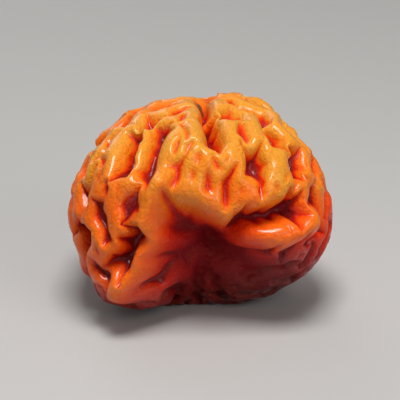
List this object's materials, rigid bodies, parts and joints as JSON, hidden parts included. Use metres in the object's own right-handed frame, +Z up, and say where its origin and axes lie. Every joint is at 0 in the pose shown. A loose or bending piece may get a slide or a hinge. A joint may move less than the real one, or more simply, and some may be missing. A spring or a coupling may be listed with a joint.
{
  "type": "dried cape gooseberry",
  "caption": "A husked, dried cape gooseberry: a small round orange fruit with a deeply wrinkled skin, sunken at the front, with its stem scar at the top of the back, lying on its flattened underside.",
  "frame": {"origin": "middle of the bounding box's bottom, on the flat that the fruit lies on", "axes": "+Z up from the flat, -Y towards the deeply sunken front, +X to the right as seen from the front"},
  "size_m": [0.0152, 0.014, 0.0122],
  "materials": {
    "skin": "wrinkled, slightly sticky and glossy dried fruit skin, golden on the ridges and deep red in the hollows"
  },
  "bodies": {
    "root": {"dried_berry": "skin"}
  },
  "joints": []
}
